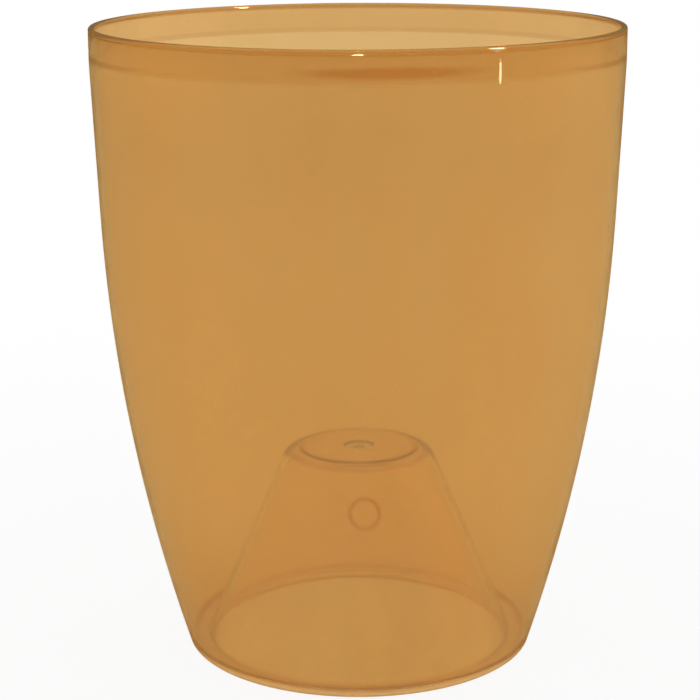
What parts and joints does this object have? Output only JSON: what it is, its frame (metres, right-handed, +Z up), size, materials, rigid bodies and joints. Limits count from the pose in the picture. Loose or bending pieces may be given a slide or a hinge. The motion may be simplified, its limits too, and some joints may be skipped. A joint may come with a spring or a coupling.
{
  "type": "orchid cover pot",
  "caption": "Tall see-through amber plastic cover pot with a collared rim, a narrow foot ring and a hollow cone pedestal that holds an inner pot above the water.",
  "frame": {"origin": "on the table, under the centre of the foot ring", "axes": "+Z up along the pot's axis of revolution, towards the rim"},
  "size_m": [0.132, 0.132, 0.1595],
  "materials": {
    "amber_plastic": "glossy see-through moulded plastic, amber tint"
  },
  "bodies": {
    "root": {"rim_collar": "amber_plastic", "upper_wall": "amber_plastic", "middle_wall": "amber_plastic", "lower_wall": "amber_plastic", "foot_ring": "amber_plastic", "pedestal_cone": "amber_plastic", "pedestal_seat": "amber_plastic"}
  },
  "joints": []
}
